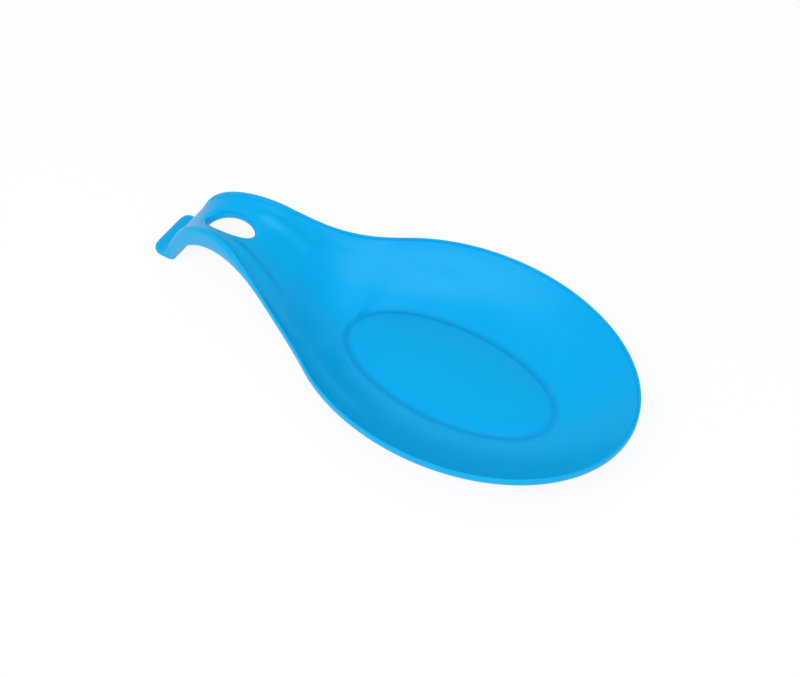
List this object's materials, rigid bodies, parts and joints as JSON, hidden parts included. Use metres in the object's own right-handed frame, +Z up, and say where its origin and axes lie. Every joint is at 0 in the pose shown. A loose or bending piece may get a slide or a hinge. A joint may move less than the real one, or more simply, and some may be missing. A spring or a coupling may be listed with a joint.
{
  "type": "spoon rest",
  "caption": "one-piece silicone spoon rest: shallow oval dish with a flat oval base, and an arched channel handle with a hanging slot and a foot",
  "frame": {"origin": "on the counter, midway along the length and the width", "axes": "+X runs from the lip of the handle to the end of the dish, +Y across the width, +Z up from the counter"},
  "size_m": [0.1966, 0.0934, 0.0314],
  "materials": {
    "blue_silicone": "satin"
  },
  "bodies": {
    "root": {"spoon_rest_moulding": "blue_silicone"}
  },
  "joints": []
}
